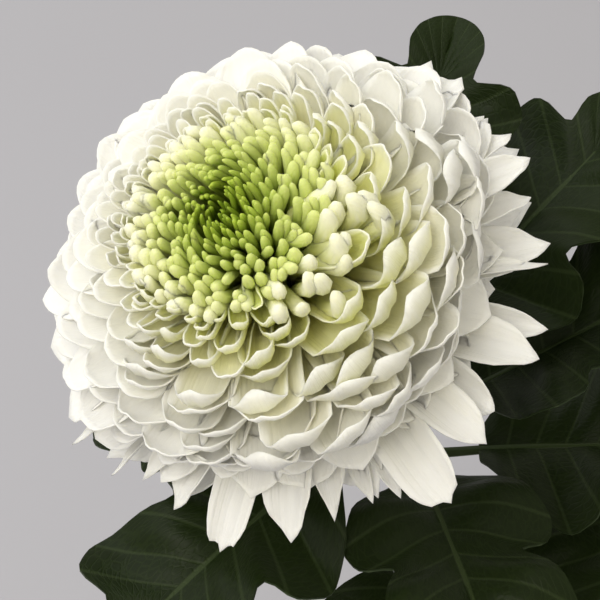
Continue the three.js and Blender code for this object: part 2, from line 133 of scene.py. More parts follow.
def blend_colours(tree, share, first, second):
    """The first colour where the share is 0, the second where it is 1."""
    colours = [
        colour if isinstance(colour, bpy.types.NodeSocket) else (*colour, 1)
        for colour in (first, second)
    ]
    mix = node(tree, "ShaderNodeMix", data_type="RGBA")
    for socket, value in zip(MIX_SOCKETS, (share, *colours)):
        if isinstance(value, bpy.types.NodeSocket):
            tree.links.new(value, mix.inputs[socket])
        else:
            mix.inputs[socket].default_value = value
    return mix.outputs[2]


def share_between(tree, value, low, high):
    """0 where a value is at its low end and 1 at its high end, with a soft change."""
    spread = node(
        tree,
        "ShaderNodeMapRange",
        {"Value": value, "From Min": low, "From Max": high},
        interpolation_type="SMOOTHSTEP",
    )
    return spread.outputs["Result"]


def arithmetic(tree, operation, *values):
    """The result of one sum on values or outputs."""
    made = node(tree, "ShaderNodeMath", dict(enumerate(values)), operation=operation)
    return made.outputs[0]


def relief(tree, shader, height, distance, strength=1.0):
    """Raises a material's surface by a height."""
    bump = node(tree, "ShaderNodeBump", {"Height": height, "Distance": distance, "Strength": strength})
    tree.links.new(bump.outputs["Normal"], shader.inputs["Normal"])


def mottle_group():
    """Soft clouds and fine specks, as on glaze, skin and leaves."""
    group = bpy.data.node_groups.new("mottle", "ShaderNodeTree")
    sockets = (("Scale", "INPUT"), ("Specks", "INPUT"), ("Cloud", "OUTPUT"), ("Speck", "OUTPUT"))
    for name, way in sockets:
        group.interface.new_socket(name=name, in_out=way, socket_type="NodeSocketFloat")
    start = node(group, "NodeGroupInput")
    place = node(group, "ShaderNodeTexCoord").outputs["Object"]
    noise = [
        node(group, "ShaderNodeTexNoise", {"Vector": place, "Scale": start.outputs[size]})
        for size in ("Scale", "Specks")
    ]
    speck = share_between(group, noise[1].outputs["Fac"], 0.62, 0.72)
    node(group, "NodeGroupOutput", {"Cloud": noise[0].outputs["Fac"], "Speck": speck})
    return group


mottle = mottle_group()


def mottled(tree, scale, specks):
    """The outputs of the mottle at a size of its clouds and of its specks."""
    made = node(tree, "ShaderNodeGroup", node_tree=mottle)
    made.inputs["Scale"].default_value = scale
    made.inputs["Specks"].default_value = specks
    return made.outputs["Cloud"], made.outputs["Speck"]


def dress(piece, material, slot, *solids):
    """Gives a finished piece its material and stands it in for its plain solids; the slot is not used."""
    piece.data.materials.clear()
    piece.data.materials.append(material)
    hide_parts(*solids)
    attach(piece, "root")


outside = wall_profile(0)
inside = [spot for spot in wall_profile(WALL) if spot[1] > FLOOR + WELL_RISE]
lip = [(0.0208, 0.1796), (0.0200, VASE_HEIGHT), (0.0184, VASE_HEIGHT), (0.0176, 0.1796)]
well = [(inside[0][0] - 0.0012, FLOOR + 0.0008), (inside[0][0] - 0.004, FLOOR)]
foot_ring = [(0.0318, 0), (0.0326, 0.0004), (0.0330, 0.0018)]
vase = throw("glazed_vase", foot_ring + outside + lip + inside[::-1] + well)

glaze, tree, shader = new_material("satin glaze", 0.32, Coat_Weight=0.35, Coat_Roughness=0.18)
cloud, speck = mottled(tree, 34, 420)
pooled = blend_colours(tree, cloud, (0.50, 0.48, 0.44), (0.63, 0.61, 0.57))
flecked = blend_colours(tree, speck, pooled, (0.33, 0.28, 0.22))
place = node(tree, "ShaderNodeTexCoord").outputs["Object"]
above_table = node(tree, "ShaderNodeSeparateXYZ", {0: place}).outputs["Z"]
bare_clay = arithmetic(tree, "LESS_THAN", above_table, BARE_RING)
tree.links.new(blend_colours(tree, bare_clay, flecked, (0.36, 0.28, 0.21)), shader.inputs["Base Color"])
relief(tree, shader, cloud, 0.0004, 0.25)
dress(vase, glaze, "ceramic_glaze", "vase")

# Water: fills the vase's body to the shoulder, and creeps up a little where it meets the wall.
# The stem stands in it.

WATER_LEVEL = 0.118
MENISCUS = 0.0008
FILM = 0.0006  # between the water and the wall
EDGE_BAND = 0.003  # under the water's level, where its rounded edge takes over


def hollow_radius(height):
    """The vase's inner radius at a height."""
    radii, heights = zip(*wall_profile(WALL, 40))
    return float(np.interp(height, heights, radii))


body = [
    spot for spot in wall_profile(WALL + FILM) if FLOOR + WELL_RISE < spot[1] < WATER_LEVEL - EDGE_BAND
]
rim = hollow_radius(WATER_LEVEL) - 0.0008
surface = [
    (rim + 0.0006, WATER_LEVEL - 0.0015),
    (rim, WATER_LEVEL),
    (rim - 0.0004, WATER_LEVEL - 0.0002),
    (rim - 0.0014, WATER_LEVEL - MENISCUS * 0.8),
    (rim - 0.004, WATER_LEVEL - MENISCUS),
]
bed = [(body[0][0] - 0.003, FLOOR + 0.0004)]
water = throw("still_water", bed + body + surface)

clear_water, _, shader = new_material("clear water", 0.02, Transmission_Weight=1.0, IOR=1.33)
shader.inputs["Base Color"].default_value = (0.93, 0.97, 0.95, 1)
dress(water, clear_water, "water", "water")

# Stem: one stiff green stalk with soft ribs, cut on the slant at its foot. It stands on the vase's
# floor, leans on the lip, and curves over under the weight of the bloom.

STEM_RADIUS = (0.0034, 0.0042)  # at the neck and at the foot
BLOOM_RADIUS = 0.065
BLOOM_HEIGHT = 0.425  # of its middle over the table
BLOOM_TILT = math.radians(27)
BLOOM_HEADING = math.radians(212)  # compass turn that it leans towards
BLOOM_REACH = 0.076  # of its middle from the vase's middle
RECEPTACLE = -0.017  # underside of the receptacle, on the bloom's axis
CUP_DEPTH = 0.010
GAP = 0.0003  # between pieces that touch
FOOT_RISE = 0.0031  # of the middle of the slanted foot over the vase's floor
FOOT_BACK = -0.015  # how far the foot stands behind the vase's middle
LIP_TOUCH = VASE_HEIGHT - 0.004  # height where the stem leans on the neck
NECK_FLAT = 0.9937  # share of the neck's radius that the stem's back reaches
FOOT_SLANT = 0.5  # rise of the cut foot, in stem radii
RIBS = 9
RIB_SWELL = 0.05  # share of the stem's radius
NODE_SWELL = (0.0005, 0.004)  # how far the stem swells at each leaf, and over what length

heading = Vector((math.cos(BLOOM_HEADING), math.sin(BLOOM_HEADING), 0))
bloom_axis = Vector((0, 0, 1)) * math.cos(BLOOM_TILT) + heading * math.sin(BLOOM_TILT)
bloom_centre = heading * BLOOM_REACH + Vector((0, 0, BLOOM_HEIGHT))


def stem_line(samples=400):
    """Evenly spaced points down the stem's middle from its top to its foot, and its length."""
    top = bloom_centre + bloom_axis * (RECEPTACLE - CUP_DEPTH - 2 * GAP)
    lean = hollow_radius(LIP_TOUCH) * NECK_FLAT - STEM_RADIUS[1] * (1 + RIB_SWELL) - 1.2 * GAP
    at_lip = heading * lean + Vector((0, 0, LIP_TOUCH))
    foot = heading * FOOT_BACK + Vector((0, 0, FLOOR + FOOT_RISE))
    straight = (at_lip - foot).normalized()
    rise = (top - at_lip).length
    bend = [at_lip, at_lip + straight * rise * 0.42, top - bloom_axis * rise * 0.3, top]
    curve = bezier([tuple(point) for point in bend], np.linspace(0, 1, 200))
    points = np.vstack([curve[::-1], np.array(foot)])
    runs = np.concatenate([[0], np.cumsum(np.linalg.norm(np.diff(points, axis=0), axis=1))])
    spaced = np.linspace(0, runs[-1], samples)
    return np.stack([np.interp(spaced, runs, points[:, k]) for k in range(3)], axis=1), runs[-1]


stem_points, stem_length = stem_line()


def on_stem(down):
    """Point and upward direction on the stem, a distance down from its top."""
    steps = np.linspace(0, stem_length, len(stem_points))
    slopes = -np.gradient(stem_points, axis=0)
    point, along = (
        Vector([np.interp(down, steps, rows[:, k]) for k in range(3)]) for rows in (stem_points, slopes)
    )
    return point, along.normalized()


def places(mesh):
    """The vertices of a mesh as rows of x, y and z."""
    spots = np.empty(len(mesh.vertices) * 3)
    mesh.vertices.foreach_get("co", spots)
    return spots.reshape(-1, 3)


def reshape(mesh, spots):
    """Moves the vertices of a mesh to new rows of x, y and z."""
    mesh.vertices.foreach_set("co", np.asarray(spots, float).ravel())
    mesh.update()


def lay_map(mesh, across, along):
    """A map over a mesh: the share across and the share along, at each vertex or all over."""
    layer = mesh.uv_layers[0] if mesh.uv_layers else mesh.uv_layers.new(name="UVMap")
    corners = np.empty(len(mesh.loops), int)
    mesh.loops.foreach_get("vertex_index", corners)
    shares = np.empty((len(mesh.vertices), 2))
    shares[:, 0] = across
    shares[:, 1] = along
    layer.data.foreach_set("uv", shares[corners].ravel())


def mark(mesh, name, values):
    """A named number for the materials, at each vertex or all over."""
    layer = mesh.attributes.new(name=name, type="FLOAT", domain="POINT")
    numbers = np.empty(len(mesh.vertices))
    numbers[:] = values
    layer.data.foreach_set("value", numbers)


# Each leaf: how far down the stem it grows, its compass turn, its length, the slope of its midrib where
# it starts and where it ends, how steeply its halves rise, how they droop, and its roll.
LEAVES = [
    (0.020, 71, 0.104, 33, 29, 0.30, 0.9, 0),
    (0.031, 188, 0.084, -3, -20, 0.25, 0.8, 8),
    (0.042, 40, 0.118, 33, 22, 0.30, 0.8, -6),
    (0.054, 222, 0.122, -4, -18, 0.30, 0.8, 6),
    (0.066, 11, 0.118, 28, 36, 0.55, 0.6, 0),
    (0.076, 283, 0.112, 26, -4, 0.30, 0.8, -4),
    (0.086, 354, 0.116, 16, 4, 0.35, 0.8, 4),
    (0.100, 309, 0.122, 8, -10, 0.30, 0.8, 6),
    (0.112, 130, 0.100, 30, 0, 0.30, 0.8, 0),
    (0.124, 260, 0.112, 0, -20, 0.30, 0.8, -4),
]

stalk = throw("ribbed_stem", [(0.004, up) for up in np.linspace(0, stem_length, 120)], RIBS * 6)
x, y, up = places(stalk.data).T
angles = np.arctan2(y, x)
downs = stem_length - up
swell = sum(NODE_SWELL[0] * np.exp(-(((downs - leaf[0]) / NODE_SWELL[1]) ** 2)) for leaf in LEAVES)
radii = lerp(*STEM_RADIUS, np.minimum(1, downs / (stem_length * 0.6)))
radii = radii * (0.99 + RIB_SWELL * np.cos(RIBS * angles)) + swell
bent = []
for angle, down, radius in zip(angles.tolist(), downs.tolist(), radii.tolist()):
    point, along = on_stem(down)
    side = Vector((0, 1, 0)).cross(along).normalized()
    front = along.cross(side)
    cut = FOOT_SLANT * math.cos(angle) * radius if down > stem_length - 1e-6 else 0
    bent.append(point + radius * (side * math.cos(angle) + front * math.sin(angle)) + along * cut)
reshape(stalk.data, bent)
lay_map(stalk.data, angles / (2 * math.pi) + 0.5, downs)


def repeated_map(tree, across, along):
    """A surface's own map, repeated a number of times across and along."""
    texture = node(tree, "ShaderNodeTexCoord").outputs["UV"]
    scaled = node(tree, "ShaderNodeMapping", {"Vector": texture, "Scale": (across, along, 1)})
    return scaled.outputs[0]


skin_green, tree, shader = new_material("stem skin", 0.55)
cloud, speck = mottled(tree, 60, 900)
greens = blend_colours(tree, cloud, (0.10, 0.17, 0.035), (0.20, 0.29, 0.07))
pale = blend_colours(tree, speck, greens, (0.30, 0.36, 0.14))
tree.links.new(pale, shader.inputs["Base Color"])
lengthwise = repeated_map(tree, 60, 40)
fibres = node(tree, "ShaderNodeTexNoise", {"Vector": lengthwise, "Scale": 1.0})
relief(tree, shader, fibres.outputs["Fac"], 0.0003)
dress(stalk, skin_green, "stem_green", "stem")

# Leaves: thick and lobed, dark green and painted darker still as shade, each on its own petiole, which
# runs on under the blade as its midrib. They stand round the stem under the bloom and arch away from it.

PETIOLE_SHARE = 0.2  # of the leaf's length
FAN_START = 0.7  # share of the way round the margin where the veins start to fan round the tip
RIB_END = 0.8  # of the leaf's length
VEIN_ANGLES = (80, 50)  # degrees between a side vein and the midrib, at the leaf's foot and near its tip
WAVE_HEIGHT = 0.03  # of the waves along the margin, in leaf lengths
WAVE_PACE = 21  # how closely they follow each other, in radians per leaf length
BLADE = 0.0008
PUFF = 0.0005  # how far the blade swells between its veins
PETIOLE_RADIUS = (0.0019, 0.0004)  # at the stem and where the midrib ends
# Share of the way round half a leaf, and how far the margin stands from the midrib in leaf lengths
MARGIN = [
    (0, 0.05), (0.09, 0.24), (0.18, 0.32), (0.26, 0.29), (0.31, 0.18), (0.38, 0.26), (0.47, 0.32),
    (0.56, 0.27), (0.63, 0.12), (0.7, 0.15), (0.8, 0.18), (0.9, 0.195), (1, 0.2),
]
VEINS = [0, 0.09, 0.18, 0.27, 0.37, 0.47, 0.56, 0.66, 0.76, 0.84, 0.92, 1]
CELLS = len(VEINS) - 1
VEIN_EDGE = (0.08, 0.015)  # where a side vein fades out and where it is full, in cells
RIB_EDGE = (0.022, 0.010)  # the same for the midrib, in widths of the blade
NET_CELLS = (30, 34)  # meshes of the net of fine veins, round the margin and across


def margin(q):
    """How far the margin stands from the midrib, in leaf lengths."""
    shares, reaches = zip(*MARGIN)
    return sum(np.interp(q + step, shares, reaches) for step in (-0.02, -0.01, 0, 0.01, 0.02)) / 5


def flat_leaf(q, v):
    """Place along and beside the midrib: q runs round half of the margin to the tip, v out to it."""
    along = np.minimum(q / FAN_START, 1) * (RIB_END - PETIOLE_SHARE) + PETIOLE_SHARE
    fan = np.maximum(0, (q - FAN_START) / (1 - FAN_START))
    angle = np.radians(lerp(lerp(*VEIN_ANGLES, np.minimum(1, q / FAN_START)), 0, fan))
    reach = margin(q) * np.abs(v)
    return along + reach * np.cos(angle), np.sign(v) * reach * np.sin(angle)


def bent_leaf(leaf, along, out, lift):
    """Where a flat leaf's points go once it is arched and folded and stands on the stem."""
    down, turn, length, rise, droop, fold, cup, roll = leaf
    turned, rise, droop = np.radians([turn, rise, droop])
    middle = np.array([math.cos(rise), math.sin(rise)]) * 0.5
    end = middle + np.array([math.cos(droop), math.sin(droop)]) * 0.5
    t = np.minimum(along, 1)
    tangent = lerp(middle, end - middle, t[:, None])
    tangent /= np.linalg.norm(tangent, axis=1, keepdims=True)
    spot = (bezier([(0, 0), middle, end], t) + tangent * (along - t)[:, None]) * length
    side = np.abs(out)
    wave = WAVE_HEIGHT * np.sin(along * WAVE_PACE + turn) * np.minimum(1, side * 6)
    curl = (fold * side - cup * side * side + wave) * length + lift
    twist = math.radians(roll) * smoothstep(along, 0, 0.6)
    across = out * length * (1 - 0.25 * fold)
    y = across * np.cos(twist) - curl * np.sin(twist)
    n = across * np.sin(twist) + curl * np.cos(twist)
    spots = np.stack([spot[:, 0] - tangent[:, 1] * n, y, spot[:, 1] + tangent[:, 0] * n], axis=1)
    c, s = math.cos(turned), math.sin(turned)
    return spots @ np.array([[c, s, 0], [-s, c, 0], [0, 0, 1]]) + np.array(on_stem(down)[0])


def flat_blank(name, columns, rows):
    """A flat sheet, one unit each way, whose map runs along its columns and rows."""
    bpy.ops.object.select_all(action="DESELECT")
    bpy.ops.mesh.primitive_grid_add(x_subdivisions=columns, y_subdivisions=rows, size=1)
    blank = bpy.context.object
    blank.name = name
    return blank


def copy_of(blank):
    """A copy of a piece with its own mesh."""
    copy = bpy.data.objects.new(blank.name, blank.data.copy())
    bpy.context.collection.objects.link(copy)
    return copy


def pick(*pieces):
    """Takes hold of some pieces and of no others."""
    bpy.ops.object.select_all(action="DESELECT")
    for piece in pieces:
        piece.select_set(True)
    bpy.context.view_layer.objects.active = pieces[0]


def join(name, pieces):
    """Several objects made one."""
    pick(*pieces)
    bpy.ops.object.join()
    pieces[0].name = name
    return pieces[0]


def thicken(piece, thickness, offset, crease=50):
    """Gives a sheet its thickness, and softens its shading up to edges that turn by the crease."""
    pick(piece)
    skin = piece.modifiers.new("skin", "SOLIDIFY")
    skin.thickness = thickness
    skin.offset = offset
    bpy.ops.object.modifier_apply(modifier=skin.name)
    bpy.ops.object.shade_smooth_by_angle(angle=math.radians(crease))


def weld(piece, distance):
    """Merges the vertices of a piece that lie together."""
    pick(piece)
    bpy.ops.object.mode_set(mode="EDIT")
    bpy.ops.mesh.select_all(action="SELECT")
    bpy.ops.mesh.remove_doubles(threshold=distance)
    bpy.ops.object.mode_set(mode="OBJECT")


flat_blade = flat_blank("leaf_blade", CELLS * 5, 20)


def leaf_blade(leaf):
    """A copy of the flat blade bent for one leaf, puffed between its sunken veins."""
    blade = copy_of(flat_blade)
    x, y, _ = places(blade.data).T
    phase = (x + 0.5) * CELLS
    q, v = np.interp(phase, range(len(VEINS)), VEINS), 2 * y
    q = np.where(np.abs(v) < 1e-6, np.minimum(q, FAN_START), q)
    along, out = flat_leaf(q, v)
    calm = (1 - 0.7 * smoothstep(q, 0.6, 0.76)) * (1 - 0.6 * smoothstep(np.abs(v), 0.6, 1))
    puffed = PUFF * (1 - np.cos(2 * math.pi * phase)) * smoothstep(np.abs(v), 0, 0.35) * calm
    reshape(blade.data, bent_leaf(leaf, along, out, puffed))
    weld(blade, 1e-5)
    thicken(blade, BLADE, 1)
    return blade


def petiole(leaf):
    """The leaf's stalk, which thins out under the blade as its midrib."""
    reach = RIB_END + 0.06
    thick = 0.001
    rod = throw("petiole", [(thick, up) for up in np.linspace(0, reach, 40)], 12)
    x, y, along = places(rod.data).T
    radius = lerp(*PETIOLE_RADIUS, along / reach)
    lift = y / thick * radius + BLADE / 2 - radius * 0.45
    reshape(rod.data, bent_leaf(leaf, np.maximum(along, 0.03), x / thick * radius / leaf[2], lift))
    lay_map(rod.data, 0, 0.5)
    return rod


def own_map(tree):
    """A surface's own map: the share across and the share along."""
    texture = node(tree, "ShaderNodeTexCoord").outputs["UV"]
    parted = node(tree, "ShaderNodeSeparateXYZ", {0: texture})
    return parted.outputs["X"], parted.outputs["Y"]


def from_half(tree, share):
    """How far a share stands from one half."""
    return arithmetic(tree, "ABSOLUTE", arithmetic(tree, "SUBTRACT", share, 0.5))


leaf_skin, tree, shader = new_material("leaf skin", 0.42, Specular_IOR_Level=0.12)
round_margin, across_blade = own_map(tree)
phase = arithmetic(tree, "MULTIPLY", round_margin, float(CELLS))
from_vein = arithmetic(tree, "PINGPONG", phase, 0.5)
side_veins = share_between(tree, from_vein, *VEIN_EDGE)
midrib = share_between(tree, from_half(tree, across_blade), *RIB_EDGE)
veins = arithmetic(tree, "MAXIMUM", arithmetic(tree, "MULTIPLY", side_veins, 0.5), midrib)
cells = repeated_map(tree, *NET_CELLS)
net = node(tree, "ShaderNodeTexVoronoi", {"Vector": cells, "Scale": 1.0}, feature="DISTANCE_TO_EDGE")
meshed = share_between(tree, net.outputs["Distance"], 0.0, 0.16)
cloud, _ = mottled(tree, 26, 600)
# Painted shade: the leaf's own dark green is made darker still, as in the bloom's shadow.
greens = blend_colours(tree, cloud, (0.006, 0.012, 0.002), (0.013, 0.022, 0.004))
netted = blend_colours(tree, meshed, (0.012, 0.021, 0.004), greens)
topside = blend_colours(tree, veins, netted, (0.032, 0.048, 0.016))
underside = blend_colours(tree, veins, (0.045, 0.066, 0.030), (0.10, 0.13, 0.065))
facing_down = node(tree, "ShaderNodeAttribute", attribute_name="underside").outputs["Fac"]
tree.links.new(blend_colours(tree, facing_down, topside, underside), shader.inputs["Base Color"])
sunken = arithmetic(tree, "SUBTRACT", arithmetic(tree, "MULTIPLY", meshed, 0.35), veins)
relief(tree, shader, sunken, 0.0004, 0.4)

for number, leaf in enumerate(LEAVES, 1):
    whole = join(f"lobed_leaf_{number:02d}", [leaf_blade(leaf), petiole(leaf)])
    normals = np.empty(len(whole.data.vertices) * 3)
    whole.data.vertices.foreach_get("normal", normals)
    mark(whole.data, "underside", normals.reshape(-1, 3)[:, 2] < 0)
    dress(whole, leaf_skin, "leaf_green", f"leaf_{number:02d}")
bpy.data.objects.remove(flat_blade)

# Involucre: the green cup that holds the bloom, with rows of pointed bracts that overlap like tiles.
# It grows out of the top of the stem.

# Each row of bracts: how many, the reach and height of their tips, and the shift of the first one
BRACT_ROWS = ((13, 0.0128, -0.0040, 0.0), (13, 0.0158, -0.0016, 0.5), (15, 0.0180, 0.0000, 0.25))
BRACT_WIDTH = 0.0042
BRACT_FOOT = (0.0062, 0.0068)  # how far out from the axis and how far down the cup the bracts start
PAPER_EDGE = (0.32, 0.48)  # where a bract turns papery, from its middle
bloom_turn = np.array(Vector((0, 0, 1)).rotation_difference(bloom_axis).to_matrix())


def in_bloom(spots):
    """Turns spots from the bloom's own frame, with +Z up its axis, to their place on the stem."""
    return spots @ bloom_turn.T + np.array(bloom_centre)


def round_axis(reach, across, height, turn):
    """Spots at a distance out from the bloom's axis, across that direction and up the axis."""
    c, s = np.cos(turn), np.sin(turn)
    return np.stack([reach * c - across * s, reach * s + across * c, height + 0 * reach], axis=-1)


top = RECEPTACLE - GAP
cup = throw(
    "involucre",
    [
        (0.0038, top - CUP_DEPTH),
        (0.0046, top - CUP_DEPTH + 0.0006),
        (0.0070, top - 0.0070),
        (0.0092, top - 0.0045),
        (0.0106, top - 0.0022),
        (0.0110, top - 0.0002),
        (0.0104, top),
    ],
    60,
)
reshape(cup.data, in_bloom(places(cup.data)))
lay_map(cup.data, 0.5, 0)

flat_bract = flat_blank("bract", 6, 8)
bracts = []
for count, reach, height, start in BRACT_ROWS:
    for number in range(count):
        bract = copy_of(flat_bract)
        x, y, _ = places(bract.data).T
        across, along = 2 * x, y + 0.5
        pointed = BRACT_WIDTH * np.sqrt(np.clip(1 - along**2.2, 0, 1))
        wide = pointed * (0.55 + 0.45 * smoothstep(along, 0, 0.4))
        out = lerp(BRACT_FOOT[0], reach, along)
        climb = (height + BRACT_FOOT[1]) * along**0.7
        rise = top - BRACT_FOOT[1] + climb - 0.0014 * (1 - along) + 0.0005 * across**2
        turn = 2 * math.pi * (number + start) / count
        reshape(bract.data, in_bloom(round_axis(out, across * wide / 2, rise, turn)))
        bracts.append(bract)
scales = join("bracts", bracts)
thicken(scales, 0.0004, 0)
whole = join("involucre_cup", [cup, scales])
bpy.data.objects.remove(flat_bract)

bract_skin, tree, shader = new_material("bract skin", 0.6)
across_bract, _ = own_map(tree)
at_edge = share_between(tree, from_half(tree, across_bract), *PAPER_EDGE)
cloud, _ = mottled(tree, 90, 1200)
greens = blend_colours(tree, cloud, (0.07, 0.13, 0.03), (0.15, 0.23, 0.06))
papery = blend_colours(tree, at_edge, greens, (0.33, 0.32, 0.20))
tree.links.new(papery, shader.inputs["Base Color"])
relief(tree, shader, cloud, 0.0003)
dress(whole, bract_skin, "bract_green", "involucre")

# White ray florets: soft spoons on narrow claws, set in one spiral round the eye on a small receptacle.
# The upper ones stand and curl inwards, and the guard florets below them spread and droop.

# The dome that the florets' tips stand on. A floret's place is 0 in the middle of the eye and 1 at the
# lowest guard florets, and its turn goes round the bloom's axis.
GOLDEN_ANGLE = math.radians(137.508)
FLORET_ROOM = (2e-6, 9e-6, 108e-6)  # surface per floret in the pit, round it, and added further out
DOME_HEIGHT = 0.82 * BLOOM_RADIUS
UNDER_HEIGHT = 0.95 * BLOOM_RADIUS
DOME_POWER = 0.9  # under 1, so that the dome's sides are full
PROFILE_END = math.radians(118)
PROFILE_LENGTH = 1.95 * BLOOM_RADIUS
EYE_EDGE = 0.14  # place where the green centre florets meet the white ones
PIT_DEPTH = 0.0045
PIT_SIZE = (0.004, 0.007)  # across and along the dimple in the eye
PIT_TURN = math.radians(-70)
SHORT_SIDE = math.radians(-62)  # side where the florets over the guard florets stay short
SHORT_BY = 0.2  # share of their reach that they lose there
GUARD_START = 0.86  # place where the guard florets take over on the short side
OPEN_SIDE = math.radians(-41)  # side of the eye where plump closed florets stand up and twist
LOOSE_RING = (0.195, 0.28)  # places of the loose florets
LOOSE_SPREAD = math.radians(33)  # how far they reach to each side of the open side

# The size and the bends of a floret
SPOON_START = (0.16, 0.2)  # place where the florets start to open into spoons, on the far and near side
SPOON_WIDTH = (0.006, 0.020)  # of the innermost and of the outer florets
CLAW_WIDTH = 0.28  # of a floret's narrow root, as a share of its spoon
CLOSED_GIRTH = (0.00065, 0.0016)  # radius of a closed floret in the pit and beside the spoons
LOOSE_GIRTH = 0.0022  # of the loose florets beside the eye
PETAL = 0.00035  # thickness of a blade
ROOT_SLOPES = (4, 102)  # degrees from the bloom's axis, at the eye and at the lowest florets
TIP_LEAN = (-16, 36)  # degrees between a floret's tip and its root, in the pit and outside the eye
SCATTER = (0.0014, 0.0040)  # how far tips stray sideways, in the eye and outside it
STAND_OUT = 0.035  # share of its reach by which a floret stands out or back
CURL_RUN = (0.006, 0.012)  # length of tip that curls, on closed and on open florets
CLOSED_CURL = (0.3, 1.2)  # radians, in the pit and at the eye's edge
OPEN_CURL = (0.7, 1.95)  # on the far and on the open side
OUTER_CURL = 0.3  # of the lowest florets
SPOON_CUP = (0.65, 0.78)  # radians that a blade is bent to each side, on the far and the open side
TUBE_CUP = 2.3  # the same for a floret that is still rolled up
TIP_CAP = 0.15  # share of a floret's length that its round tip takes
TIP_CORNER = math.radians(50)  # how round the tip is across
TIP_ARC = math.radians(40)  # how round it is along
RIPPLE = 0.09  # height of the ripple at a blade's edges, as a share of half its width
GUARD_ROOT = (0.0082, RECEPTACLE + 0.0035)  # distance from the axis and height
GUARD_SLOPES = (84, 98)  # of a guard floret's root and tip, from the axis

# Its colours
LIT_SIDE_WHITENING = 0.62  # how much sooner florets lose their green away from the open side, as painted light
ROOT_FADE = (0.3, 0.8)  # shares of a floret's length between which its root's colour, partly painted shade, fades
RIM_HIGHLIGHT_SIDE = (0.34, 0.5)  # where the rims' painted highlight starts and is full at the sides, from the middle
RIM_HIGHLIGHT_TIP = (0.76, 0.98)  # and at the tip, in shares of the length


def chance(index, salt):
    """A number from -1 to 1 that looks random and is the same for the same index and salt."""
    wave = math.sin(index * 12.9898 + salt * 78.233) * 43758.5453
    return 2 * (wave - math.floor(wave)) - 1


def shortness(turn):
    """1 for the turns where the florets stay short, 0 on the far side."""
    return smoothstep(math.cos(turn - SHORT_SIDE), -0.1, 0.6)


def tip_spot(place, turn):
    """Where a floret's tip stands: distance from the bloom's axis and height on it."""
    angle = place * PROFILE_END
    reach = BLOOM_RADIUS * math.sin(angle) ** DOME_POWER
    level = math.cos(angle)
    reach *= 1 - SHORT_BY * smoothstep(place, 0.45, 0.7) * shortness(turn)
    beside, along = reach * math.sin(turn - PIT_TURN), reach * math.cos(turn - PIT_TURN)
    pit = PIT_DEPTH * math.exp(-((beside / PIT_SIZE[0]) ** 2) - (along / PIT_SIZE[1]) ** 2)
    return np.array([reach, (DOME_HEIGHT if level > 0 else UNDER_HEIGHT) * level - pit])


def spiral():
    """The place (0 at the eye, 1 at the lowest guard florets) and index of every floret."""
    florets = []
    place = 0.003
    while place < 1:
        florets.append((place, len(florets)))
        girth = 2 * math.pi * max(0.001, tip_spot(place, 0)[0])
        room = lerp(*FLORET_ROOM[:2], smoothstep(place, 0.01, 0.14))
        room += FLORET_ROOM[2] * smoothstep(place, 0.15, 0.48)
        place += room / girth / PROFILE_LENGTH
    return florets


def root_slope(place):
    """Slope of a floret's root in degrees from the bloom's axis, outwards."""
    return lerp(*ROOT_SLOPES, place)


def tip_slope(place):
    """Slope of a floret's tip in degrees from the bloom's axis, outwards."""
    return root_slope(place) + lerp(*TIP_LEAN, smoothstep(place, 0.04, 0.36))


def lit_side_tint(place, turn):
    """A floret's colour place: its place, over twice that on the side the key light falls on, as painted
    light.
    """
    return place * (1 + LIT_SIDE_WHITENING * (1 - math.cos(turn - OPEN_SIDE)))


def is_loose(place, turn):
    """True for the plump closed florets that stand up and twist beside the eye."""
    away = abs((turn - OPEN_SIDE + math.pi) % (2 * math.pi) - math.pi)
    return LOOSE_RING[0] < place < LOOSE_RING[1] and away < LOOSE_SPREAD


# Each guard floret of the short side: its turn, the reach and height of its tip, its width, how far its
# point stands out, how deep its end is notched, and its twist.
GUARDS = [
    (-153, 0.0710, 0.005, 0.007, 0.004, 0, 20),
    (-143, 0.0680, 0.000, 0.005, 0.003, 0, 30),
    (-136, 0.0630, 0.000, 0.007, 0.003, 0, -25),
    (-127, 0.0644, -0.005, 0.013, 0.003, 0, 10),
    (-112, 0.0700, -0.005, 0.013, 0, 0.0025, -12),
    (-96, 0.0660, -0.005, 0.016, 0.004, 0, 6),
    (-86, 0.0620, -0.006, 0.010, 0.006, 0, -22),
    (-77, 0.0590, -0.010, 0.007, 0.003, 0, 14),
    (-70, 0.0620, -0.008, 0.007, 0.003, 0, -16),
    (-61, 0.0720, -0.005, 0.016, 0, 0.0022, 8),
    (-48, 0.0680, -0.003, 0.013, 0.002, 0.001, -10),
    (-41, 0.0630, -0.006, 0.014, 0.002, 0, 12),
    (-27, 0.0676, -0.005, 0.014, 0.003, 0, -8),
    (-19, 0.0660, -0.009, 0.010, 0.003, 0, 16),
    (-6, 0.0660, -0.003, 0.007, 0.005, 0, -30),
    (0, 0.0664, -0.006, 0.015, 0.004, 0, 6),
    (10, 0.0650, -0.001, 0.011, 0.002, 0, -14),
    (16, 0.0690, 0.005, 0.011, 0.002, 0, 18),
    (24, 0.0680, 0.004, 0.011, 0.002, 0, -12),
    (31, 0.0655, 0.006, 0.012, 0.003, 0, 24),
    (41, 0.0690, 0.008, 0.017, 0.001, 0.001, -6),
    (50, 0.0690, 0.008, 0.014, 0.003, 0, 14),
]


def floret_line(root, tip, slopes, run, curl):
    """The middle of a floret, from its root to where its tip starts to curl by an angle over a run."""
    ways = np.stack([np.sin(slopes), np.cos(slopes)], axis=1)
    inward = np.array([-ways[1][1], ways[1][0]])
    end = tip - (ways[1] * math.sin(curl) + inward * (1 - math.cos(curl))) * run / curl
    handles = ways * 0.38 * np.linalg.norm(end - root)
    return [root, root + handles[0], end - handles[1], end]


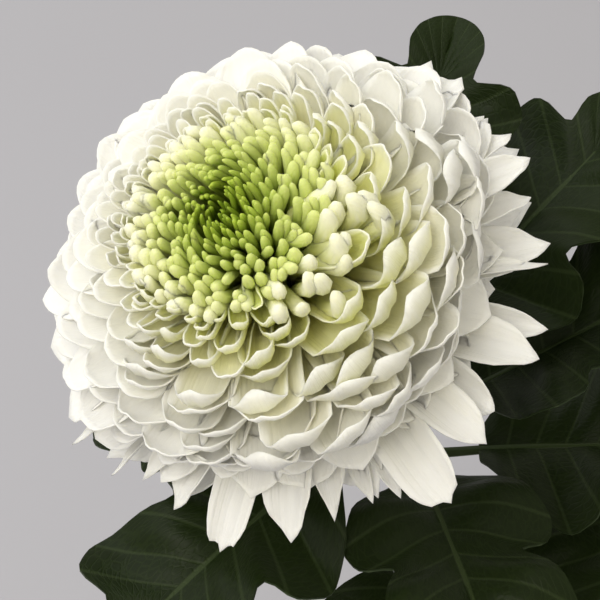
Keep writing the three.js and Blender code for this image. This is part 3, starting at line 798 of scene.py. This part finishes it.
def guard(turn, reach, height, width, peak, notch, twist):
    """The sizes of one guard floret."""
    root, tip = np.array(GUARD_ROOT), np.array([reach - peak, height])
    run, curl = CURL_RUN[1], 0.1
    return {
        "line": floret_line(root, tip, np.radians(GUARD_SLOPES), run, curl),
        "run": run,
        "curl": curl,
        "turn": math.radians(turn),
        "width": width,
        "cup": 0.7,
        "rim": 0.2,
        "sway": 0,
        "twist": math.radians(twist),
        "peak": peak,
        "notch": notch,
        "groove": 0.07,
        "wave": math.radians(turn),
        "tint": 0.75,
        "closed": False,
    }


def floret(place, index):
    """The sizes of one floret of the spiral."""
    spread = smoothstep(place, 0.08, 0.5)  # 0 in the eye, 1 among the full-grown florets
    lower = smoothstep(place, 0.72, 0.95)  # 1 under the bloom
    far = max(0.004, tip_spot(place, 0)[0])
    turn = index * GOLDEN_ANGLE + lerp(*SCATTER, spread) * chance(index, 4) / far
    loose = is_loose(place, turn)
    near = smoothstep(math.cos(turn - OPEN_SIDE), -0.6, 0.6)  # 1 on the open side, 0 across from it
    opening = lerp(*SPOON_START, near)
    rolled = 1 - smoothstep(place, opening, opening + 0.16)  # 1 where a floret is still a tube
    lean = smoothstep(math.cos(turn - OPEN_SIDE), -0.1, 0.7) * (1 - smoothstep(place, 0.2, 0.34))
    proud = STAND_OUT * (0.5 + 0.5 * spread) * chance(index, 1) + 0.02 * loose
    tip = tip_spot(place, turn) * (1 + proud)
    root = np.array([0.0015 + 0.007 * place, lerp(0.002, RECEPTACLE + 0.004, place**1.5)])
    slopes = np.radians(
        [
            root_slope(place) + 4 * chance(index, 2) * spread,
            tip_slope(place) + 22 * lean + (12 + 14 * loose) * chance(index, 3),
        ]
    )
    drift = 0.0014 + 0.0018 * spread + 0.001 * loose
    swell = 1 + 0.2 * chance(index, 13)
    slender = lerp(*CLOSED_GIRTH, smoothstep(place, 0, 0.18)) * (1 + 0.3 * (1 - near))
    run = lerp(*CURL_RUN, smoothstep(place, 0.19, 0.28))
    curl = lerp(lerp(*OPEN_CURL, near), lerp(*CLOSED_CURL, smoothstep(place, 0.1, 0.25)), rolled)
    curl = lerp(curl, OUTER_CURL, smoothstep(place, 0.5, 0.88)) * (1 + 0.42 * chance(index, 6))
    return {
        "place": place,
        "girth": (LOOSE_GIRTH if loose else slender) * swell,
        "line": floret_line(root, tip, slopes, run, curl),
        "run": run,
        "curl": curl,
        "turn": turn,
        "width": lerp(*SPOON_WIDTH, smoothstep(place, 0.08, 0.44)) * (1 + 0.12 * chance(index, 5)),
        "cup": lerp(lerp(*SPOON_CUP, near), TUBE_CUP, rolled) - 0.3 * lower + 0.18 * chance(index, 10),
        "rim": 0.05 * (1 - rolled),
        "sway": 0.22 * (1 - spread) + drift * chance(index, 12) / far,
        "twist": math.radians(8 + 12 * spread) * chance(index, 7),
        "peak": 0.0005 * (1 + chance(index, 8)) * (1 + 6 * smoothstep(place, 0.66, 0.95)),
        "notch": 0.0009 * (1 + chance(index, 9)) * smoothstep(place, 0.6, 0.9),
        "groove": 0.03,
        "wave": math.pi * chance(index, 11),
        # the side away from the open side, which the key light falls on, is painted whiter as painted
        # light
        "tint": max(lit_side_tint(place, turn), 0.3 * loose),
        "closed": loose or place < opening,
    }


def floret_width(along):
    """Width along a floret as a share of its widest: a narrow claw, then a spoon."""
    return lerp(CLAW_WIDTH, 1, smoothstep(along, 0, 0.68)) * (1 - 0.12 * smoothstep(along, 0.8, 1))


def floret_middle(shape, share):
    """Spots on the middle of a floret and the way ahead there, at shares of its length."""
    line, run, curl = shape["line"], shape["run"], shape["curl"]
    length = np.linalg.norm(line[3] - line[0]) * 1.05 + run
    start = 1 - run / length
    spot = bezier(line, np.minimum(1, share / start))
    ahead = bezier(np.diff(line, axis=0), np.minimum(1, share / start))
    ahead /= np.linalg.norm(ahead, axis=1, keepdims=True)
    inward = np.stack([-ahead[:, 1], ahead[:, 0]], axis=1)
    angle = (curl * np.maximum(0, share - start) / (1 - start))[:, None]
    spot = spot + (ahead * np.sin(angle) + inward * (1 - np.cos(angle))) * run / curl
    return spot, ahead * np.cos(angle) + inward * np.sin(angle)


def floret_spots(shape, across, along):
    """Places of a floret's points, in the bloom's frame: across from -1 to 1, along from root to tip."""
    # The tip is drawn in at its corners, so that it ends round
    tau = np.clip((along - 1 + TIP_CAP) / TIP_CAP, 0, 1)
    side = np.abs(across)
    rounded = (1 - np.cos(TIP_CORNER * side)) / (1 - math.cos(TIP_CORNER))
    capped = TIP_CAP * (tau - (tau - np.sin(TIP_ARC * tau)) * rounded)
    narrowed = np.sin(TIP_CORNER * across) / math.sin(TIP_CORNER)
    sigma = np.cos(TIP_ARC * tau) * lerp(across, narrowed, tau)
    t = np.minimum(along, 1 - TIP_CAP) + capped
    spot, tangent = floret_middle(shape, t)
    edge = shape["peak"] * (1 - side) ** 2 - shape["notch"] * np.exp(-(((side - 0.36) / 0.2) ** 2))
    spot = spot + tangent * (edge * tau**2)[:, None]
    # The blade is cupped, with a turned-up rim, low ribs along it and a ripple at its edges
    half = shape["width"] / 2 * floret_width(t)
    bend = shape["cup"] * smoothstep(t, 0, 0.5) + 0.001
    out = half * np.sin(bend * sigma) / bend
    rise = half * (1 - np.cos(bend * sigma)) / bend
    rise += shape["rim"] * half * side**4 * smoothstep(t, 0.4, 0.8)
    groove = shape["groove"] * half * np.cos(3 * math.pi * sigma) * smoothstep(t, 0.2, 0.5)
    ripple = RIPPLE * half * np.sin(9 * t + 2 * sigma + shape["wave"]) * side * smoothstep(t, 0.3, 0.8)
    twist = shape["twist"] * smoothstep(t, 0.3, 1)
    out, rise = (
        out * np.cos(twist) - rise * np.sin(twist),
        out * np.sin(twist) + rise * np.cos(twist) + groove + ripple,
    )
    turn = shape["turn"] + shape["sway"] * t**2
    return round_axis(spot[:, 0] - tangent[:, 1] * rise, out, spot[:, 1] + tangent[:, 0] * rise, turn)


FINGER_SIDES = 8
# Radius up a closed floret, as a share of its widest, and how far up it that is
FINGER = [(0.5, 0.0), (0.62, 0.5), (0.78, 0.74), (1.0, 0.88), (0.96, 0.94), (0.72, 0.98), (0.3, 1.0)]

flat_floret = flat_blank("floret", 8, 9)
flat_finger = throw("finger", FINGER, FINGER_SIDES)


def ray_floret(shape):
    """A copy of the flat floret, bent to its place in the bloom."""
    petal = copy_of(flat_floret)
    x, y, _ = places(petal.data).T
    along = 1 - (0.5 - y) ** 1.6
    reshape(petal.data, in_bloom(floret_spots(shape, 2 * x, along)))
    mark(petal.data, "place", shape["tint"])
    return petal


def closed_floret(shape):
    """A copy of the straight finger, with a lobed tip, bent to its place in the bloom."""
    finger = copy_of(flat_finger)
    x, y, along = places(finger.data).T
    spot, tangent = floret_middle(shape, along)
    lobed = shape["girth"] * (1 + 0.12 * along**4 * np.cos(2 * np.arctan2(y, x) + shape["wave"]))
    out, rise = x * lobed, y * lobed
    turn = shape["turn"] + shape["sway"] * along**2
    spots = round_axis(spot[:, 0] - tangent[:, 1] * rise, out, spot[:, 1] + tangent[:, 0] * rise, turn)
    reshape(finger.data, in_bloom(spots))
    lay_map(finger.data, x * 0.5 + 0.5, along)
    mark(finger.data, "place", shape["tint"])
    return finger


shapes = [floret(place, index) for place, index in spiral()]
whites = [
    shape
    for shape in shapes
    if shape["place"] >= EYE_EDGE and (shape["place"] < GUARD_START or shortness(shape["turn"]) < 0.6)
]
heart = throw(
    "receptacle",
    [
        (0.0105, RECEPTACLE), (0.0110, RECEPTACLE + 0.0006), (0.0110, -0.009),
        (0.0098, -0.004), (0.0072, 0.0004), (0.0036, 0.0024), (0.0008, 0.0030),
    ],
    48,
)
reshape(heart.data, in_bloom(places(heart.data)))
lay_map(heart.data, 0.5, 0)
mark(heart.data, "place", 0.5)
guards = [guard(*sizes) for sizes in GUARDS]
spoons = join("spoons", [ray_floret(shape) for shape in whites + guards if not shape["closed"]])
thicken(spoons, PETAL, -1, 130)
fingers = join("fingers", [closed_floret(shape) for shape in whites if shape["closed"]])
bpy.ops.object.shade_smooth_by_angle(angle=math.radians(80))
bloom = join("white_ray_florets", [spoons, fingers, heart])


def petal_material(name, blades, roots_and_shade, rim_highlights):
    """Petal skin: colours for each place in the bloom, of blades, roots (partly painted shade) and rims
    (painted highlight).
    """
    material, tree, shader = new_material(name, 0.55, Subsurface_Weight=0.8, Subsurface_Scale=0.001)
    shader.inputs["Subsurface Radius"].default_value = (1.0, 0.98, 0.88)
    place = node(tree, "ShaderNodeAttribute", attribute_name="place").outputs["Fac"]
    ramps = []
    for colours in (blades, roots_and_shade, rim_highlights):
        made = node(tree, "ShaderNodeValToRGB", {"Fac": place})
        elements = made.color_ramp.elements
        for _ in colours[2:]:
            elements.new(0.5)
        for element, (position, colour) in zip(elements, colours):
            element.position = position
            element.color = (*colour, 1)
        ramps.append(made.outputs["Color"])
    across, along = own_map(tree)
    # Painted shade: the roots' own yellow-green is made darker and yellower, as shade between florets.
    outward = share_between(tree, along, *ROOT_FADE)
    # Painted highlight: the rims and tips are made paler, as edges that catch the light.
    at_side = share_between(tree, from_half(tree, across), *RIM_HIGHLIGHT_SIDE)
    at_tip = share_between(tree, along, *RIM_HIGHLIGHT_TIP)
    lit_rim = arithmetic(tree, "MAXIMUM", arithmetic(tree, "MULTIPLY", at_side, outward), at_tip)
    blade = blend_colours(tree, outward, ramps[1], ramps[0])
    tree.links.new(blend_colours(tree, lit_rim, blade, ramps[2]), shader.inputs["Base Color"])
    streaks = repeated_map(tree, 9, 1.2)
    grain = node(tree, "ShaderNodeTexNoise", {"Vector": streaks, "Scale": 2.0, "Detail": 3.0})
    relief(tree, shader, grain.outputs["Fac"], 0.0007, 0.5)
    return material


# The roots' yellow is partly the florets' own and partly painted warm shade of the hollows between them.
white_petal = petal_material(
    "white petal",
    [(0.12, (0.46, 0.57, 0.08)), (0.19, (0.48, 0.57, 0.08)), (0.29, (0.83, 0.85, 0.37)),
     (0.44, (0.96, 0.935, 0.74)), (0.58, (0.968, 0.956, 0.88)), (1.0, (0.968, 0.962, 0.93))],
    [(0.12, (0.30, 0.42, 0.03)), (0.28, (0.88, 0.85, 0.38)), (0.46, (0.965, 0.925, 0.66)),
     (0.62, (0.965, 0.94, 0.80)), (1.0, (0.965, 0.95, 0.88))],
    [(0.12, (0.60, 0.69, 0.20)), (0.19, (0.74, 0.80, 0.32)), (0.28, (0.92, 0.925, 0.68)),
     (0.42, (0.965, 0.96, 0.87)), (1.0, (0.965, 0.96, 0.90))],
)
dress(bloom, white_petal, "petal_white", "ray_florets")

# Centre florets: the green eye, young florets still rolled up, like blunt fingers that lean in over a
# dimple in the bloom's middle.

greens = [shape for shape in shapes if shape["place"] < EYE_EDGE]
eye = join("green_centre_florets", [closed_floret(shape) for shape in greens])
bpy.ops.object.shade_smooth_by_angle(angle=math.radians(80))
bpy.data.objects.remove(flat_finger)
bpy.data.objects.remove(flat_floret)

# The eye's roots are painted darker as shade between its fingers, and its rims and tips paler as a painted
# highlight.
green_petal = petal_material(
    "green petal",
    [(0.0, (0.06, 0.10, 0.004)), (0.05, (0.22, 0.31, 0.014)), (0.12, (0.48, 0.60, 0.08)),
     (0.2, (0.68, 0.75, 0.26)), (0.28, (0.90, 0.91, 0.62))],
    [(0.0, (0.09, 0.15, 0.005)), (0.14, (0.28, 0.40, 0.04)), (0.28, (0.72, 0.74, 0.30))],
    [(0.0, (0.20, 0.30, 0.01)), (0.05, (0.42, 0.54, 0.06)), (0.12, (0.60, 0.69, 0.20)),
     (0.2, (0.76, 0.81, 0.36)), (0.28, (0.92, 0.93, 0.66))],
)
dress(eye, green_petal, "petal_green", "centre_florets")

# Studio: a plain pale floor, a large soft light from above on the left, a weak one from the front,
# and the camera above the bloom's shoulder, looking down on it.

CAMERA_RISE = math.radians(50)
CAMERA_DISTANCE = 0.433
LENS = 100  # millimetres
SENSOR = 36
FRAME_PIXELS = 600
FRAME_SHIFT = (3, 9)  # pixels that the bloom's middle stands left of and above the picture's
PIXEL = SENSOR / LENS * CAMERA_DISTANCE / FRAME_PIXELS
FLOOR_SIZE = 8
FLOOR_DROP = -0.0002  # under the vase's foot
ROOM_COLOUR = (1.0, 0.955, 0.84, 1)
ROOM_LIGHT = 0.66

bpy.ops.mesh.primitive_plane_add(size=FLOOR_SIZE, location=(0, 0, FLOOR_DROP))
floor = bpy.context.object
floor.name = "studio_floor"
paper, tree, shader = new_material("pale paper", 0.9)
cloud, _ = mottled(tree, 3, 300)
clouded = blend_colours(tree, cloud, (0.445, 0.442, 0.490), (0.457, 0.455, 0.504))
tree.links.new(clouded, shader.inputs["Base Color"])
floor.data.materials.append(paper)

world = bpy.data.worlds.new("soft room")
bpy.context.scene.world = world
world.use_nodes = True
room = world.node_tree.nodes["Background"]
room.inputs["Color"].default_value = ROOM_COLOUR
room.inputs["Strength"].default_value = ROOM_LIGHT


def soft_light(name, place, size, power, colour):
    """A square soft light that faces the bloom."""
    lamp = bpy.data.objects.new(name, bpy.data.lights.new(name, "AREA"))
    bpy.context.collection.objects.link(lamp)
    lamp.data.size = size
    lamp.data.energy = power
    lamp.data.color = colour
    lamp.location = bloom_centre + Vector(place)
    lamp.rotation_euler = (-Vector(place)).to_track_quat("-Z", "Y").to_euler()


soft_light("window", (-0.8, 0.45, 1.05), 2.0, 12.5, (0.93, 0.97, 1.0))
soft_light("fill", (-0.6, -0.65, 1.25), 0.9, 9.8, (1.0, 0.95, 0.84))

away = Vector((0, -math.cos(CAMERA_RISE), math.sin(CAMERA_RISE)))
above = Vector((0, math.sin(CAMERA_RISE), math.cos(CAMERA_RISE)))
target = bloom_centre + Vector((FRAME_SHIFT[0] * PIXEL, 0, 0)) - above * FRAME_SHIFT[1] * PIXEL
camera = bpy.data.objects.new("camera", bpy.data.cameras.new("camera"))
bpy.context.collection.objects.link(camera)
camera.data.lens = LENS
camera.data.sensor_width = SENSOR
camera.location = target + away * CAMERA_DISTANCE
camera.rotation_euler = (-away).to_track_quat("-Z", "Y").to_euler()
bpy.context.scene.camera = camera
bpy.context.scene.view_settings.view_transform = "Standard"
